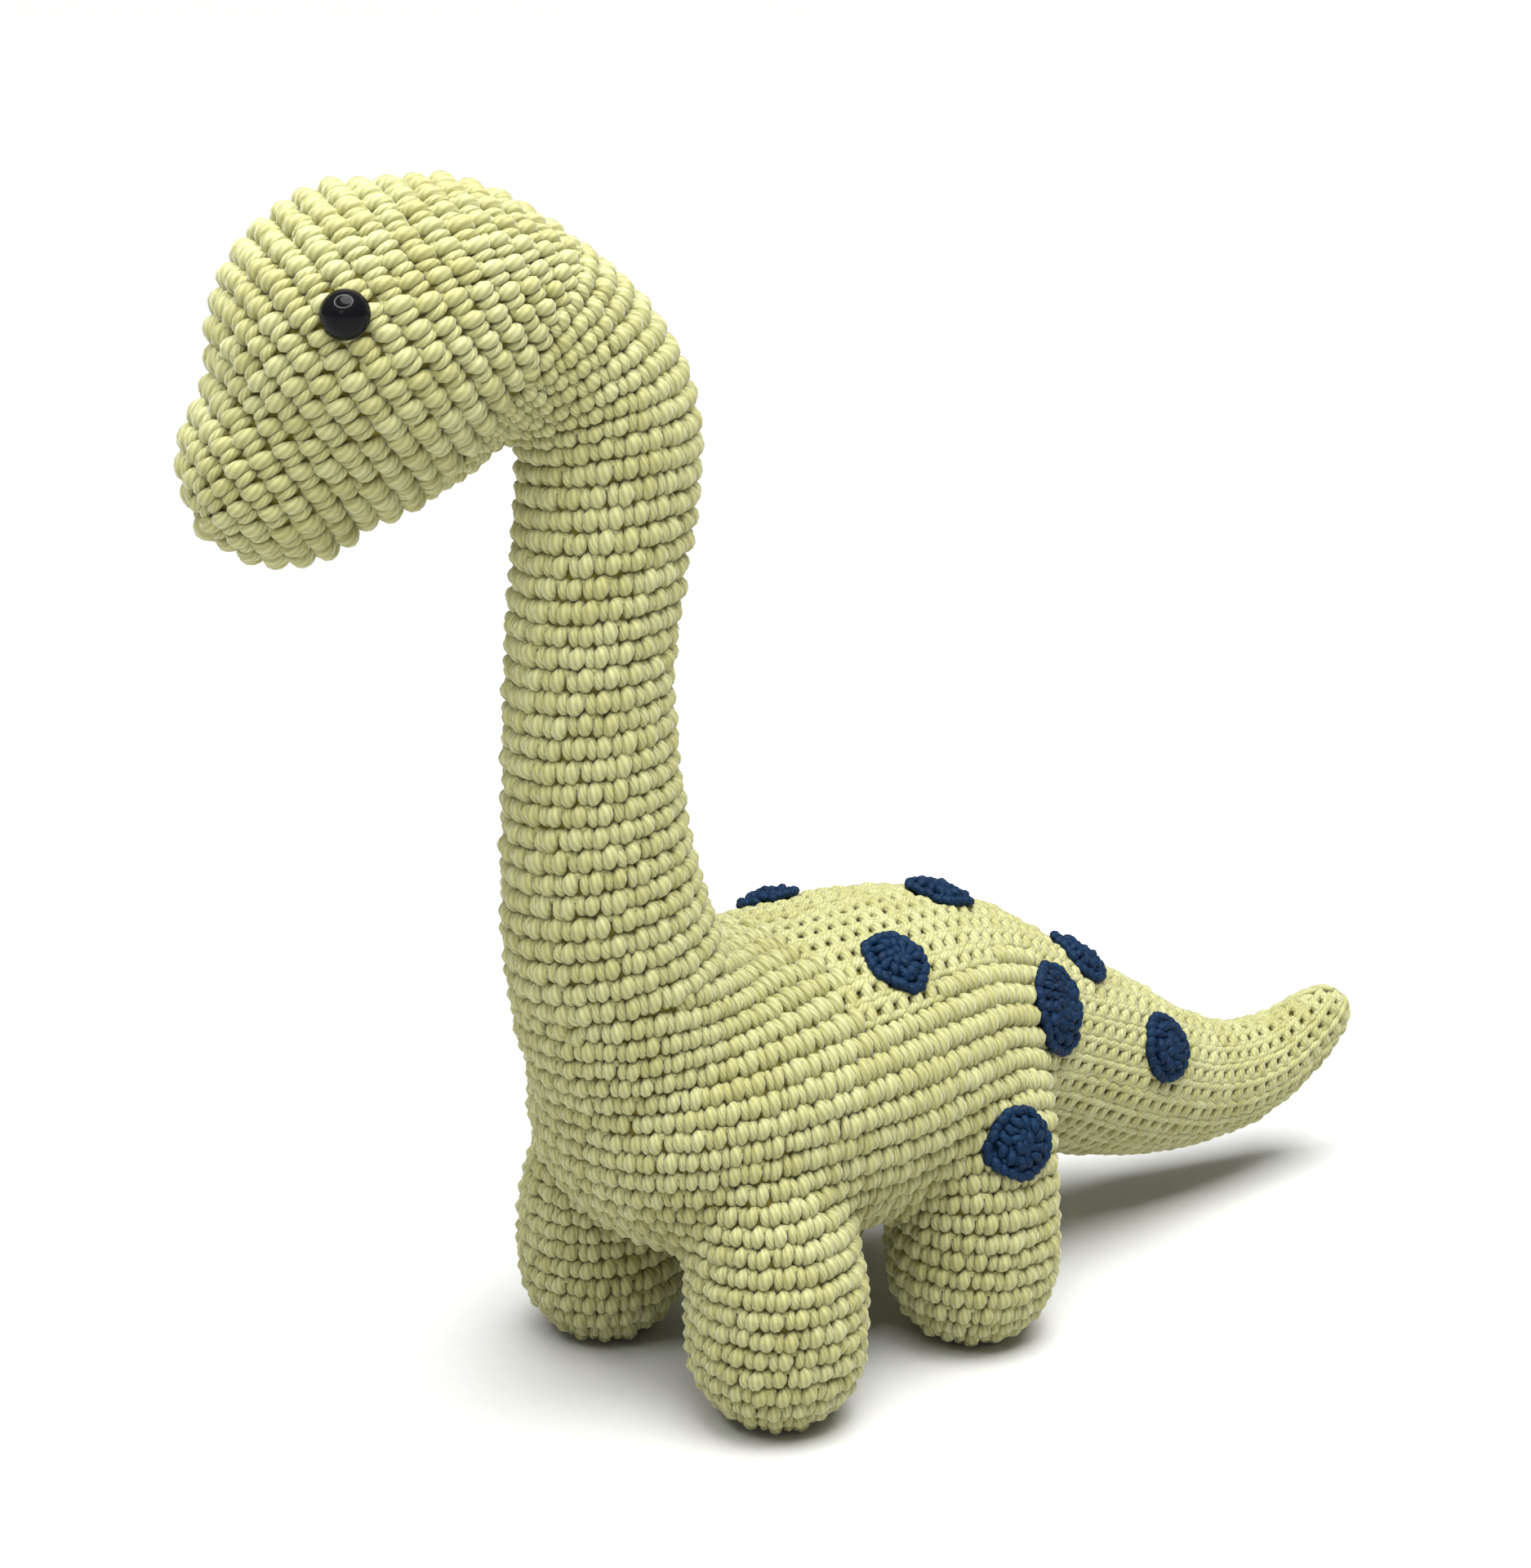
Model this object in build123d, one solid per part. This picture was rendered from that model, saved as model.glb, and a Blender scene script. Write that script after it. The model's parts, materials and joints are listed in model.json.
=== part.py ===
from build123d import *
import math
import os

# A crocheted, stuffed long-necked dinosaur, standing on four stub legs.
# Frame: origin on the floor under the middle of the overall length and width, nose
# towards -Y, the animal's left side towards +X, +Z up.  All sizes are millimetres.
# The x and y values below count from the middle between the four feet, and save()
# moves each finished piece into the frame.
MIDDLE_X = -1.9            # from the middle between the feet to the middle of the width
MIDDLE_Y = 24.8            # from the middle between the feet to the middle of the length

# ---- cloth and stuffing ----
SKIN = 2.8                 # thickness of the crocheted cloth
STUFFING_GAP = 0.1         # between the cloth's back and the stuffing
JOINT_GAP = 0.4            # air at each place where one stuffed limb turns in the next
CAP_FACTOR = 1.04          # turning ball radius over the tube radius at that place

# ---- trunk and tail, stations along the spine: y, z, half width, half height, x ----
TRUNK = [
    (-57.5, 59, 6, 5, 0),
    (-54, 59.5, 17, 15, 0),
    (-45, 60, 27.5, 24, 0),
    (-30, 60, 35, 31, 0),
    (-8, 59.5, 39.5, 34, 0),
    (14, 59.5, 40, 34, 0),
    (34, 59, 35.2, 32.5, 0.3),
    (52, 55.2, 27.2, 28.6, 1),
    (68, 49, 23.8, 24.6, 2),
    (84, 41.7, 22, 22.3, 4),
    (100, 34.5, 19.6, 19.6, 6),
    (114, 29.3, 16.7, 16.7, 8),
    (128, 26.8, 14, 14, 10.3),
    (141, 27.5, 11.7, 11.7, 12.5),
    (153, 31.8, 9.5, 9.5, 14.5),
    (162, 36.8, 7.5, 7.5, 15.7),
    (167, 40, 3, 3, 16.3),
]
TAIL_ROOT = 9              # index of the station where the tail starts to bend
TAIL_MIDDLE = 12           # index of the station where the tail's end bends

# ---- neck, stations upwards: y, z, radius ----
NECK = [
    (-28, 62, 25.5),
    (-37, 74, 24.5),
    (-43, 88, 22.5),
    (-47, 102, 20.5),
    (-49.5, 121, 18.2),
    (-50.5, 141, 16.6),
    (-49.8, 160, 16.2),
    (-47, 178, 16.8),
    (-45, 194, 17.4),
]
NECK_ROOT = 3              # index of the station where the neck bends over the trunk
NECK_MIDDLE = 6            # index of the station where the neck bends halfway up

# ---- head, on a vertical plane turned to the animal's right about the neck's top ----
HEAD_YAW = 25              # degrees
NECK_TOP = (-45, 194)      # y, z of the neck's last station
# nape stations: forward of the neck's top, up from it, lean of the section, radius
NAPE = [
    (0, 0, 0, 17.4),
    (0.9, 7.9, 12, 17.8),
    (5.2, 15.5, 35, 18.4),
    (13.2, 21.5, 61, 20.2),
    (23.9, 25.2, 84, 25),
    (36, 24.4, 100, 27.4),
]
SKULL = (43.8, 23.2, 29.4)     # forward, up, radius of the round skull
CHEEK = (49, 14.7, 24.9)       # forward, up, radius of the cheeks below it
MUZZLE = (60.6, 2.4, 19.2)     # forward, up, radius of the muzzle's round end

# ---- legs ----
LEG_X = 27                 # feet centres from the middle plane
LEG_FRONT_Y = -27
LEG_HIND_Y = 29
LEG_RADIUS = 18.4
HIP_Z = 28                 # height of the swing axis
HIP_RIM = 9                # how far the leg's cloth reaches above that axis
# hip stations above a left leg: x, y behind the leg's middle, z, radius
HIP_FRONT = [
    (27, 0, 27, 18.4),
    (24, 0, 43, 17.4),
    (19.5, 0, 57, 15.5),
]
HIP_HIND = [
    (27, 0, 27, 18.4),
    (25, 0.5, 43, 18.6),
    (20, 3, 57, 18.5),
    (17, 4, 67, 15),
]
SOLE_CUT = 1.3             # how much of the round foot is pressed flat
LEG_SWING = 12             # degrees each way

# ---- eyes: black domed safety eyes with a ribbed shank and a locking washer ----
EYE_RADIUS = 4.5
EYE_HEIGHT = 3.6
EYE_SHANK_RADIUS = 1.4
EYE_SHANK_LENGTH = 9.0
EYE_AZIMUTH = 19           # degrees forward of straight sideways
EYE_RISE = 18              # degrees above the skull's middle
WASHER_RADIUS = 5.0
WASHER_THICKNESS = 1.0

# ---- navy crocheted spots: name, centre x, y, z, outward x, y, z, radius ----
SPOT_THICKNESS = 2.4
SPOTS = [
    ("spot_back_front", -18, 11.5, 90.4, -0.42, 0, 0.9, 6.5),
    ("spot_back_middle", 3.5, 41, 89.6, 0.1, 0.3, 0.95, 7),
    ("spot_flank_upper_left", 23.4, 9.4, 88, 0.5, 0, 0.87, 7.3),
    ("spot_rump_left", 25, 54.4, 66.3, 0.76, 0.58, 0.3, 9.5),
    ("spot_hip_left", 41.2, 27.1, 48.5, 0.98, 0.16, 0.14, 7),
    ("spot_flank_upper_right", -30, 20, 82, -0.7, 0.05, 0.7, 8),
    ("spot_flank_lower_right", -39, -2, 55, -1, 0, -0.1, 8),
    ("spot_rump_right", -30, 46, 63, -0.85, 0.4, 0.3, 9),
    ("spot_tail_top", 11.5, 77.5, 69, 0.38, 0.42, 0.82, 7),
]
TAIL_SPOTS = [
    ("spot_tail_left", 24.4, 93.6, 47.1, 0.9, 0.32, 0.29, 7.5),
    ("spot_tail_right", -16, 100, 40, -0.9, 0.25, 0.35, 8),
]


def heading(points, index):
    """Unit direction along a chain of (x, y, z) points at one of them."""
    before = Vector(*points[max(index - 1, 0)])
    after = Vector(*points[min(index + 1, len(points) - 1)])
    return (after - before).normalized()


def tube(centres, sizes, directions, grow):
    """A closed solid lofted through ellipses, each made larger by grow."""
    sections = []
    for centre, (half_width, half_height), direction in zip(centres, sizes, directions):
        plane = Plane(origin=centre, x_dir=(1, 0, 0), z_dir=direction)
        oval = Ellipse(max(half_width + grow, 1), max(half_height + grow, 1))
        sections.append(plane * oval)
    return loft(sections)


def trunk(grow):
    """Chest, belly, rump and tail as one long tube."""
    centres = [(x, y, z) for y, z, _, _, x in TRUNK]
    if grow < 0:
        centres[0] = (0, TRUNK[0][0] - grow, TRUNK[0][1])
        centres[1] = (0, TRUNK[1][0] - grow / 2, TRUNK[1][1])
    directions = [heading(centres, i) for i in range(len(centres))]
    sizes = [(width, height) for _, _, width, height, _ in TRUNK]
    return tube(centres, sizes, directions, grow)


def neck(grow):
    """The neck's tube, rooted inside the chest."""
    centres = [(0, y, z) for y, z, _ in NECK]
    directions = [heading(centres, i) for i in range(len(centres))]
    directions[-1] = Vector(0, 0, 1)
    sizes = [(radius, radius) for _, _, radius in NECK]
    return tube(centres, sizes, directions, grow)


def head_point(forward, up):
    """A point on the head's own plane, in the part's frame."""
    yaw = math.radians(HEAD_YAW)
    x = -forward * math.sin(yaw)
    y = NECK_TOP[0] - forward * math.cos(yaw)
    return Vector(x, y, NECK_TOP[1] + up)


def head_direction(lean):
    """The way a head section faces when it leans forward from straight up."""
    yaw = math.radians(HEAD_YAW)
    forward = math.sin(math.radians(lean))
    return Vector(-forward * math.sin(yaw), -forward * math.cos(yaw), math.cos(math.radians(lean)))


def ball(centre, radius):
    return Pos(*centre) * Sphere(radius)


def head(grow):
    """Nape, skull, cheeks and muzzle in one solid."""
    side = Vector(math.cos(math.radians(HEAD_YAW)), -math.sin(math.radians(HEAD_YAW)), 0)
    sections = []
    for forward, up, lean, radius in NAPE:
        plane = Plane(origin=head_point(forward, up), x_dir=side, z_dir=head_direction(lean))
        sections.append(plane * Circle(radius + grow))
    solid = loft(sections)
    for forward, up, radius in (SKULL, CHEEK, MUZZLE):
        solid += ball(head_point(forward, up), radius + grow)
    return solid


def hip(x, y, grow):
    """The bulge of the trunk that a leg turns in, narrowing upwards into the flank."""
    side = math.copysign(1, x)
    sections = []
    for hip_x, behind, z, radius in (HIP_HIND if y > 0 else HIP_FRONT):
        plane = Plane(origin=(side * hip_x, y + behind, z), x_dir=(1, 0, 0), z_dir=(0, 0, 1))
        sections.append(plane * Circle(radius + grow))
    return loft(sections)


def leg(x, y, grow):
    """One stub leg: a round foot pressed flat, a straight shank and a turning ball."""
    radius = LEG_RADIUS + grow
    foot_z = LEG_RADIUS - SOLE_CUT
    shank = Pos(x, y, foot_z) * Cylinder(
        radius, HIP_Z - foot_z, align=(Align.CENTER, Align.CENTER, Align.MIN)
    )
    top = ball((x, y, HIP_Z), radius)
    solid = shank + ball((x, y, foot_z), radius) + top
    solid -= Pos(x, y, -grow) * Box(
        3 * radius, 3 * radius, 3 * radius, align=(Align.CENTER, Align.CENTER, Align.MAX)
    )
    return solid


def half_space(point, direction):
    """A large block on the far side of a plane."""
    block = Box(400, 400, 300, align=(Align.CENTER, Align.CENTER, Align.MIN))
    return Plane(origin=point, z_dir=direction) * block


def cut_all(shape, cutters):
    """Take each cutter away from a shape in turn."""
    for cutter in cutters:
        shape = shape - cutter
    return shape


def main_solid(shape):
    """The largest solid of a result, without any crumbs left by a cut."""
    return max(shape.solids(), key=lambda solid: solid.volume)


class Bend:
    """Where one stuffed length turns in the next: a ball and a plane across it."""

    def __init__(self, point, direction, tube_radius):
        self.point = Vector(*point)
        self.direction = Vector(*direction)
        self.radius = tube_radius * CAP_FACTOR

    def beyond(self):
        """All space that belongs to the far side of the bend."""
        return half_space(self.point, self.direction) + ball(self.point, self.radius)

    def taken(self):
        """What the near side gives up, with room to turn in."""
        return [
            half_space(self.point, self.direction),
            ball(self.point, self.radius + JOINT_GAP),
        ]


TRUNK_POINTS = [(x, y, z) for y, z, _, _, x in TRUNK]
NECK_POINTS = [(0, y, z) for y, z, _ in NECK]
neck_root = Bend(NECK_POINTS[NECK_ROOT], heading(NECK_POINTS, NECK_ROOT), NECK[NECK_ROOT][2])
neck_middle = Bend(
    NECK_POINTS[NECK_MIDDLE], heading(NECK_POINTS, NECK_MIDDLE), NECK[NECK_MIDDLE][2]
)
head_root = Bend(NECK_POINTS[-1], (0, 0, 1), NECK[-1][2])
tail_root = Bend(TRUNK_POINTS[TAIL_ROOT], heading(TRUNK_POINTS, TAIL_ROOT), TRUNK[TAIL_ROOT][2])
tail_middle = Bend(
    TRUNK_POINTS[TAIL_MIDDLE], heading(TRUNK_POINTS, TAIL_MIDDLE), TRUNK[TAIL_MIDDLE][2]
)

LEGS = {
    "leg_front_left": (LEG_X, LEG_FRONT_Y),
    "leg_front_right": (-LEG_X, LEG_FRONT_Y),
    "leg_hind_left": (LEG_X, LEG_HIND_Y),
    "leg_hind_right": (-LEG_X, LEG_HIND_Y),
}


def leg_room(x, y):
    """The spaces that one leg sweeps while it swings, plus the joint gap."""
    hip_axis = Axis((x, y, HIP_Z), (1, 0, 0))
    shank = Pos(x, y, HIP_Z) * Cylinder(
        LEG_RADIUS + JOINT_GAP, HIP_Z, align=(Align.CENTER, Align.CENTER, Align.MAX)
    )
    swept = [shank.rotate(hip_axis, swing) for swing in (-LEG_SWING, 0, LEG_SWING)]
    socket = ball((x, y, HIP_Z), LEG_RADIUS + JOINT_GAP)
    return [socket] + swept


def save(name, shape):
    """Move a piece into the part's frame and write it as its own node."""
    export_step(Pos(-MIDDLE_X, -MIDDLE_Y, 0) * shape, f"parts/{name}.step")


def eye_frame(side):
    """Place on the skull's cloth and outward direction of one eye; side is +1 for left."""
    forward = math.radians(EYE_AZIMUTH)
    rise = math.radians(EYE_RISE)
    yaw = math.radians(HEAD_YAW)
    left = Vector(math.cos(yaw), -math.sin(yaw), 0)
    ahead = Vector(-math.sin(yaw), -math.cos(yaw), 0)
    level = left * (side * math.cos(forward)) + ahead * math.sin(forward)
    outward = level * math.cos(rise) + Vector(0, 0, 1) * math.sin(rise)
    centre = head_point(SKULL[0], SKULL[1]) + outward * SKULL[2]
    return centre, outward


def eye(side):
    """Domed button and its shank, one moulding."""
    centre, outward = eye_frame(side)
    dome_radius = (EYE_RADIUS ** 2 + EYE_HEIGHT ** 2) / (2 * EYE_HEIGHT)
    dome = Pos(0, 0, EYE_HEIGHT - dome_radius) * Sphere(dome_radius)
    keep = Cylinder(
        2 * EYE_RADIUS, 2 * EYE_RADIUS, align=(Align.CENTER, Align.CENTER, Align.MIN)
    )
    shank = Cylinder(
        EYE_SHANK_RADIUS, EYE_SHANK_LENGTH, align=(Align.CENTER, Align.CENTER, Align.MAX)
    )
    button = (dome & keep) + shank
    return Plane(origin=centre, z_dir=outward) * button


def washer(side):
    """Locking disc pushed over the shank behind the cloth."""
    centre, outward = eye_frame(side)
    disc = Cylinder(
        WASHER_RADIUS, WASHER_THICKNESS, align=(Align.CENTER, Align.CENTER, Align.MAX)
    )
    hole = Cylinder(
        EYE_SHANK_RADIUS, WASHER_THICKNESS, align=(Align.CENTER, Align.CENTER, Align.MAX)
    )
    place = Pos(0, 0, -SKIN - 0.6)
    return Plane(origin=centre, z_dir=outward) * (place * (disc - hole))


def eye_room(side):
    """Pocket in the stuffing for the shank and the washer."""
    centre, outward = eye_frame(side)
    pocket = Cylinder(
        WASHER_RADIUS + 0.4, EYE_SHANK_LENGTH, align=(Align.CENTER, Align.CENTER, Align.MAX)
    )
    return Plane(origin=centre, z_dir=outward) * pocket


def eye_hole(side):
    """Hole in the cloth that the shank passes through."""
    centre, outward = eye_frame(side)
    hole = Cylinder(EYE_SHANK_RADIUS, 2 * EYE_SHANK_LENGTH)
    seat = Cylinder(
        2 * EYE_RADIUS, EYE_RADIUS, align=(Align.CENTER, Align.CENTER, Align.MIN)
    )
    return Plane(origin=centre, z_dir=outward) * (hole + seat)


def spot(spec, rind):
    """A round sewn-on patch that follows the cloth under it."""
    _, x, y, z, out_x, out_y, out_z, radius = spec
    outward = Vector(out_x, out_y, out_z).normalized()
    core = Plane(origin=(x, y, z), z_dir=outward) * Cylinder(radius, 4 * SPOT_THICKNESS + 6)
    return main_solid(core & rind)


os.makedirs("parts", exist_ok=True)

trunk_outer = trunk(0)
trunk_inner = trunk(-SKIN)
trunk_fill = trunk(-SKIN - STUFFING_GAP)
neck_outer = neck(0)
neck_inner = neck(-SKIN)
neck_fill = neck(-SKIN - STUFFING_GAP)
head_outer = head(0)
head_inner = head(-SKIN)
head_fill = head(-SKIN - STUFFING_GAP)

# Trunk: cloth and stuffing, less the room that each limb turns in.
away = neck_root.taken() + tail_root.taken()
for x, y in LEGS.values():
    away += leg_room(x, y)
body_outer = trunk_outer + neck_outer
body_inner = trunk_inner + neck_inner
body_fill = trunk_fill + neck_fill
for x, y in LEGS.values():
    body_outer += hip(x, y, 0)
    body_inner += hip(x, y, -SKIN)
    body_fill += hip(x, y, -SKIN - STUFFING_GAP)
save("trunk_skin", main_solid(cut_all(body_outer - body_inner, away)))
save("trunk_stuffing", main_solid(cut_all(body_fill, away)))

# Neck: lower and upper half.
lower = cut_all(neck_root.beyond(), neck_middle.taken())
save("neck_lower_skin", main_solid((neck_outer - neck_inner) & lower))
save("neck_lower_stuffing", main_solid(neck_fill & lower))
upper = cut_all(neck_middle.beyond(), head_root.taken())
save("neck_upper_skin", main_solid((neck_outer - neck_inner) & upper))
save("neck_upper_stuffing", main_solid(neck_fill & upper))

# Head: the nape's tube and the skull, plus the ball that turns in the neck's top.
turning = ball(head_root.point, head_root.radius)
head_cloth = (head_outer - head_inner) + ((neck_outer - neck_inner) & turning)
head_pad = head_fill + (neck_fill & turning)
for side in (1, -1):
    head_cloth -= eye_hole(side)
    head_pad -= eye_room(side)
save("head_skin", main_solid(head_cloth))
save("head_stuffing", main_solid(head_pad))
for side, name in ((1, "left"), (-1, "right")):
    save(f"eye_{name}", eye(side))
    save(f"eye_washer_{name}", washer(side))

# Tail: root and end.
root = cut_all(tail_root.beyond(), tail_middle.taken())
save("tail_root_skin", main_solid((trunk_outer - trunk_inner) & root))
save("tail_root_stuffing", main_solid(trunk_fill & root))
end = tail_middle.beyond()
save("tail_end_skin", main_solid((trunk_outer - trunk_inner) & end))
save("tail_end_stuffing", main_solid(trunk_fill & end))

# Legs.
for name, (x, y) in LEGS.items():
    above = half_space((x, y, HIP_Z + HIP_RIM), (0, 0, 1))
    cloth = leg(x, y, 0) - leg(x, y, -SKIN) - above
    save(f"{name}_skin", main_solid(cloth))
    save(f"{name}_stuffing", main_solid(leg(x, y, -SKIN - STUFFING_GAP)))

# Spots: each patch is cut from a thin rind just outside the cloth.
rind = trunk(SPOT_THICKNESS) + neck(SPOT_THICKNESS)
for x, y in LEGS.values():
    rind += hip(x, y, SPOT_THICKNESS)
rind = rind - trunk(0.05) - neck(0.05)
for x, y in LEGS.values():
    rind -= hip(x, y, 0.05)
body_rind = cut_all(rind, away)
tail_rind = rind & root
for spec in SPOTS:
    save(spec[0], spot(spec, body_rind))
for spec in TAIL_SPOTS:
    save(spec[0], spot(spec, tail_rind))
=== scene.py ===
import json
import math

import bpy
import numpy as np
from mathutils import Matrix, Vector
from mathutils.bvhtree import BVHTree


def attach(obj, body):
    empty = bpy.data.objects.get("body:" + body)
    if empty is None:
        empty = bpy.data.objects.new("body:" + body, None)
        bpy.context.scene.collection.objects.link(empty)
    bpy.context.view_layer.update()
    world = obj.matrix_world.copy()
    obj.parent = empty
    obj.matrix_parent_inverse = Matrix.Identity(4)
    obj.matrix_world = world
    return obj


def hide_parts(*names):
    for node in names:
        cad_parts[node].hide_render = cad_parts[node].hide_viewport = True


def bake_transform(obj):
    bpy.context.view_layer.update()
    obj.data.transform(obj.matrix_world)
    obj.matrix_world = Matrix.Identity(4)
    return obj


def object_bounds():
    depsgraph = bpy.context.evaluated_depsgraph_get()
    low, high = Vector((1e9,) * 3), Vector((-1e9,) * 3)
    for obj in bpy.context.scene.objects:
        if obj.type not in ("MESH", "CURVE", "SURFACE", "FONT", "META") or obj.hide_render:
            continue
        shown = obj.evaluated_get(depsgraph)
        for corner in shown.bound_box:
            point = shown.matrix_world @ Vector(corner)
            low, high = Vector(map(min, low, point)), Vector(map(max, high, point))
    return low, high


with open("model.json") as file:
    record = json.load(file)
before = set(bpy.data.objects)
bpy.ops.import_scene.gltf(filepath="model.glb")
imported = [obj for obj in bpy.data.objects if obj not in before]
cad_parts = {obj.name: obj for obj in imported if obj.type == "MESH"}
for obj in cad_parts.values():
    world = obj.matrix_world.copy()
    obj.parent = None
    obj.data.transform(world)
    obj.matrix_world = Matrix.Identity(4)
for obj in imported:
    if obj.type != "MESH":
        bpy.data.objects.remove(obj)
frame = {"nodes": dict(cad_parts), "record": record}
cad_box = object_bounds()

# A crocheted, stuffed long-necked dinosaur. Its cloth is real geometry: rows of stitches
# are laid over one smooth surface taken from the frame, and each stitch is made of short
# lengths of cotton yarn. Lengths in this script are millimetres counted from the middle
# between the four feet, on the floor, until a mesh is made.
MM = 0.001
MIDDLE = np.array([-1.9, 24.8, 0.0])      # from the middle between the feet to the origin
rng = np.random.default_rng(11)

# ---- yarn ----
STITCH_WIDTH = 4.75        # along a row
ROW_PITCH = 4.27           # from row to row
HEAD_PITCH = 4.7           # from row to row on the head
SOLE_HEIGHT = 0.05         # the yarn under the feet is pressed flat at this height
YARN_DEPTH = 1.35          # how far the rows' own surface lies under the outside
UNDER_DEPTH = 2.0          # how far the closed surface behind the stitches lies under it

# ---- spine of the trunk and tail: y, x, z ----
SPINE = np.array([
    (-57.5, 0, 59),
    (-30, 0, 60),
    (-8, 0, 59.5),
    (14, 0, 59.5),
    (34, 0.3, 59),
    (52, 1, 55.2),
    (68, 2, 49),
    (84, 4, 41.7),
    (100, 6, 34.5),
    (114, 8, 29.3),
    (128, 10.3, 26.8),
    (141, 12.5, 27.5),
    (153, 14.5, 31.8),
    (162, 15.7, 36.8),
    (170, 16.6, 41.5),
])
SPINE_STEP = 4.0           # the direction is taken between points this far each way
CHEST_BLEND = (-30, -6)    # y where the chest's rings turn into the flanks' lengthwise rows
TAIL_PITCH = np.array([    # y, distance from row to row
    (50, ROW_PITCH), (85, 4.9), (128, 4.1), (150, 3.6), (168, 3.0),
])
TAIL_WIDTH = np.array([(50, STITCH_WIDTH), (90, 3.5), (168, 3.1)])      # y, stitch width
BACK_NARROWING = 0.9       # the upper back's stitches are narrower by this

# ---- neck: height at the middle line, and how far each round leans up to the rear ----
NECK_LEAN = np.array([
    (80, 15), (108, 13), (118, 7.5), (125, 5.5), (146, 4.2), (159, 2.6), (175, 2.5),
])
NECK_FLOOR = (-20.0, 97.0, 0.25)      # y, z and slope of the round where the neck begins
NECK_BLEND = (-26, -4)                # height from that round over which the chest's rows join it
NECK_REAR = -12                       # the neck lies ahead of this y

# ---- head ----
HEAD_YAW = math.radians(25)
NECK_TOP = np.array([0.0, -45.0, 194.0])
HEAD_DIP = math.radians(35)           # how far the head's rounds face down

# ---- legs and joints: points the cloth bends about ----
LEGS = {
    "leg_front_left": (27, -27),
    "leg_front_right": (-27, -27),
    "leg_hind_left": (27, 29),
    "leg_hind_right": (-27, 29),
}
LEG_RING_REACH = (18, 26)             # distance from a leg's middle where its rings fade out
LEG_RING_TOP = (30, 46)               # height where they fade out
LEG_BEND_Z = 38                       # height of the point that a leg's cloth bends about


def unit(v):
    """Vectors scaled to length one."""
    v = np.asarray(v, float)
    return v / np.maximum(np.linalg.norm(v, axis=-1, keepdims=True), 1e-12)


def dot(a, b):
    """Dot products along the last axis."""
    return np.sum(a * b, axis=-1)


def ramp(x, low, high):
    """0 below low, 1 above high, smooth between."""
    t = np.clip((x - low) / (high - low), 0, 1)
    return t * t * (3 - 2 * t)


def across(v, normal):
    """The part of v that lies in the surface, at length one."""
    return unit(v - dot(v, normal)[..., None] * normal)


# ------------------------------------------------------------------ camera and light
CAMERA_AZIMUTH = math.radians(47.68)
CAMERA_DISTANCE = 609.33
CAMERA_HEIGHT = 301.89
CAMERA_PITCH = math.radians(16.49)
CAMERA_SIDE = -3.98
CAMERA_FOCAL = 2.0535      # focal length over image width


def make_camera():
    """The camera at the viewing angle, level, with no shift."""
    sin_a, cos_a = math.sin(CAMERA_AZIMUTH), math.cos(CAMERA_AZIMUTH)
    sin_p, cos_p = math.sin(CAMERA_PITCH), math.cos(CAMERA_PITCH)
    right = Vector((cos_a, sin_a, 0))
    back = Vector((sin_a * cos_p, -cos_a * cos_p, sin_p))
    up = back.cross(right)
    place = Vector((sin_a * CAMERA_DISTANCE, -cos_a * CAMERA_DISTANCE, CAMERA_HEIGHT))
    place = (place + right * CAMERA_SIDE - Vector(MIDDLE)) * MM
    data = bpy.data.cameras.new("camera")
    data.sensor_fit = "HORIZONTAL"
    data.sensor_width = 36
    data.lens = CAMERA_FOCAL * data.sensor_width
    data.clip_start = 0.01
    data.clip_end = 200
    camera = bpy.data.objects.new("camera", data)
    turn = Matrix((right, up, back)).transposed().to_4x4()
    camera.matrix_world = Matrix.Translation(place) @ turn
    bpy.context.scene.collection.objects.link(camera)
    bpy.context.scene.camera = camera


def sun_light(name, towards, power, spread):
    """Even light from far away; towards is where it comes from."""
    data = bpy.data.lights.new(name, "SUN")
    data.energy = power
    data.angle = math.radians(spread)
    lamp = bpy.data.objects.new(name, data)
    lamp.rotation_euler = Vector(towards).to_track_quat("Z", "Y").to_euler()
    bpy.context.scene.collection.objects.link(lamp)


def ring_lamp(place, radius, tube_radius, strength):
    """A glowing ring that looks at the head, for the highlight in the eyes."""
    mesh = bpy.data.meshes.new("ring_lamp")
    aim = (Vector((0, -0.11, 0.22)) - Vector(place)).normalized()
    turn = aim.to_track_quat("Z", "Y").to_matrix()
    points, faces, around, section = [], [], 48, 10
    for i in range(around):
        big = i / around * 2 * math.pi
        for j in range(section):
            small = j / section * 2 * math.pi
            reach = radius + tube_radius * math.cos(small)
            local = (reach * math.cos(big), reach * math.sin(big), tube_radius * math.sin(small))
            points.append(Vector(place) + turn @ Vector(local))
            near, far = i * section, (i + 1) % around * section
            k = (j + 1) % section
            faces.append((near + j, far + j, far + k, near + k))
    mesh.from_pydata(points, [], faces)
    glow = bpy.data.materials.new("lamp_glow")
    glow.use_nodes = True
    glow.node_tree.nodes["Principled BSDF"].inputs["Emission Strength"].default_value = strength
    glow.node_tree.nodes["Principled BSDF"].inputs["Emission Color"].default_value = (1, 1, 1, 1)
    mesh.materials.append(glow)
    lamp = bpy.data.objects.new("ring_lamp", mesh)
    bpy.context.scene.collection.objects.link(lamp)


make_camera()
sun_light("overhead", (0.2, 0.0, 1.0), 4.5, 45)
ring_lamp((0.07, -0.22, 0.62), 0.26, 0.02, 20)

world = bpy.data.worlds.new("studio")
world.use_nodes = True
world.node_tree.nodes["Background"].inputs["Color"].default_value = (1, 1, 1, 1)
world.node_tree.nodes["Background"].inputs["Strength"].default_value = 0.2
bpy.context.scene.world = world
bpy.context.scene.view_settings.view_transform = "Standard"


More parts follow.
